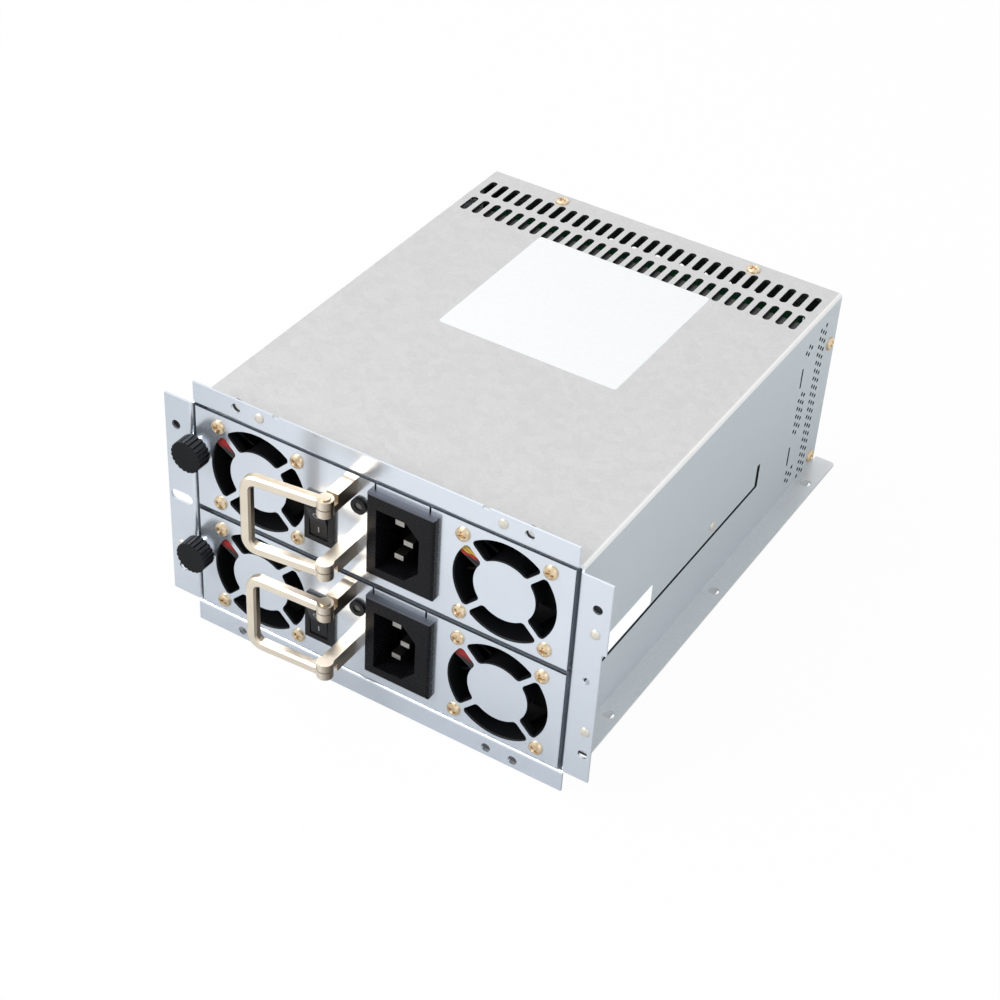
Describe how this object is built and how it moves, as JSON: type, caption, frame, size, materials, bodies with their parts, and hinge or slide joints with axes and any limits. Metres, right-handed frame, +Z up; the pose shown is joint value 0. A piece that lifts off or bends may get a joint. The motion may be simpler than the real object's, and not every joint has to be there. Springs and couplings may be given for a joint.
{
  "type": "redundant server power supply",
  "caption": "Stacked hot swap server power supply: sheet-metal housing with two slide-out modules, fans, inlets, switches and folding handles.",
  "frame": {"origin": "centre of the four side-flange holes, on the front face of the flanges", "axes": "+X to the right seen from the front, +Y from the front face towards the rear, +Z up"},
  "size_m": [0.172, 0.2129, 0.104],
  "materials": {
    "zinc_sheet": "bright zinc-plated sheet, smooth on the front faces",
    "spangled_sheet": "galvanised sheet with a faint spangle",
    "black_plastic": "fine matt moulded plastic",
    "gold_steel": "steel with a gold chromate finish",
    "nickel_rod": "polished, warm nickel",
    "pin_metal": "plated contact pins",
    "lead_insulation": "red, yellow and black insulation",
    "lamp_lens": "clear tinted lens",
    "circuit_board": "green solder mask",
    "connector_body": "glass-filled plastic",
    "capacitor_sleeve": "plain dark sleeve",
    "ferrite_core": "dark core with taped winding",
    "bare_aluminium": "extruded, bare",
    "plain_steel": "plain zinc-plated steel"
  },
  "bodies": {
    "housing": {"top_cover": "spangled_sheet", "base_plate": "spangled_sheet", "rear_panel": "spangled_sheet", "mid_shelf": "spangled_sheet", "left_rail": "spangled_sheet", "right_rail": "spangled_sheet", "backplane_board": "circuit_board", "backplane_sockets": "connector_body", "backplane_standoffs": "plain_steel", "housing_screws": "gold_steel", "flange_rivets": "gold_steel", "nut_plates": "plain_steel", "outlet_bushing": "black_plastic"},
    "upper_module": {"upper_tray": "zinc_sheet", "upper_lid": "zinc_sheet", "upper_left_fan_frame": "black_plastic", "upper_right_fan_frame": "black_plastic", "upper_fan_screws": "gold_steel", "upper_fan_leads": "lead_insulation", "upper_inlet": "black_plastic", "upper_inlet_pins": "pin_metal", "upper_switch_frame": "black_plastic", "upper_lamp_holder": "black_plastic", "upper_lamp": "lamp_lens", "upper_handle_posts": "plain_steel", "upper_hinge_pins": "plain_steel", "upper_main_board": "circuit_board", "upper_transformer": "ferrite_core", "upper_capacitors": "capacitor_sleeve", "upper_heat_sinks": "bare_aluminium", "upper_edge_connector": "connector_body"},
    "upper_left_rotor": {"upper_left_fan_rotor": "black_plastic"},
    "upper_right_rotor": {"upper_right_fan_rotor": "black_plastic"},
    "upper_rocker_key": {"upper_rocker": "black_plastic"},
    "upper_bail": {"upper_handle": "nickel_rod"},
    "upper_captive_screw": {"upper_thumbscrew": "black_plastic"},
    "lower_module": {"lower_tray": "zinc_sheet", "lower_lid": "zinc_sheet", "lower_left_fan_frame": "black_plastic", "lower_right_fan_frame": "black_plastic", "lower_fan_screws": "gold_steel", "lower_fan_leads": "lead_insulation", "lower_inlet": "black_plastic", "lower_inlet_pins": "pin_metal", "lower_switch_frame": "black_plastic", "lower_lamp_holder": "black_plastic", "lower_lamp": "lamp_lens", "lower_handle_posts": "plain_steel", "lower_hinge_pins": "plain_steel", "lower_main_board": "circuit_board", "lower_transformer": "ferrite_core", "lower_capacitors": "capacitor_sleeve", "lower_heat_sinks": "bare_aluminium", "lower_edge_connector": "connector_body"},
    "lower_left_rotor": {"lower_left_fan_rotor": "black_plastic"},
    "lower_right_rotor": {"lower_right_fan_rotor": "black_plastic"},
    "lower_rocker_key": {"lower_rocker": "black_plastic"},
    "lower_bail": {"lower_handle": "nickel_rod"},
    "lower_captive_screw": {"lower_thumbscrew": "black_plastic"}
  },
  "joints": [
    {"name": "upper_module_slide", "type": "slide", "parent": "housing", "child": "upper_module", "axis": [0, -1, 0], "range_m": [0, 0.16]},
    {"name": "upper_left_fan_spin", "type": "hinge", "parent": "upper_module", "child": "upper_left_rotor", "pos_m": [-0.0475, 0.01, 0.0218], "axis": [0, 1, 0], "continuous": true},
    {"name": "upper_right_fan_spin", "type": "hinge", "parent": "upper_module", "child": "upper_right_rotor", "pos_m": [0.0484, 0.01, 0.0218], "axis": [0, 1, 0], "continuous": true},
    {"name": "upper_rocker_tilt", "type": "hinge", "parent": "upper_module", "child": "upper_rocker_key", "pos_m": [-0.022, 0.0012, 0.0186], "axis": [1, 0, 0], "range_deg": [-24, 0]},
    {"name": "upper_handle_swing", "type": "hinge", "parent": "upper_module", "child": "upper_bail", "pos_m": [-0.01, -0.0145, 0.0257], "axis": [0, 0, 1], "range_deg": [-7, 83]},
    {"name": "upper_thumbscrew_turn", "type": "hinge", "parent": "upper_module", "child": "upper_captive_screw", "pos_m": [-0.0714, -0.005, 0.0266], "axis": [0, 1, 0], "continuous": true},
    {"name": "lower_module_slide", "type": "slide", "parent": "housing", "child": "lower_module", "axis": [0, -1, 0], "range_m": [0, 0.16]},
    {"name": "lower_left_fan_spin", "type": "hinge", "parent": "lower_module", "child": "lower_left_rotor", "pos_m": [-0.0475, 0.01, -0.0218], "axis": [0, 1, 0], "continuous": true},
    {"name": "lower_right_fan_spin", "type": "hinge", "parent": "lower_module", "child": "lower_right_rotor", "pos_m": [0.0484, 0.01, -0.0218], "axis": [0, 1, 0], "continuous": true},
    {"name": "lower_rocker_tilt", "type": "hinge", "parent": "lower_module", "child": "lower_rocker_key", "pos_m": [-0.022, 0.0012, -0.025], "axis": [1, 0, 0], "range_deg": [-24, 0]},
    {"name": "lower_handle_swing", "type": "hinge", "parent": "lower_module", "child": "lower_bail", "pos_m": [-0.01, -0.0145, -0.0179], "axis": [0, 0, 1], "range_deg": [-3, 87]},
    {"name": "lower_thumbscrew_turn", "type": "hinge", "parent": "lower_module", "child": "lower_captive_screw", "pos_m": [-0.0714, -0.005, -0.017], "axis": [0, 1, 0], "continuous": true}
  ]
}
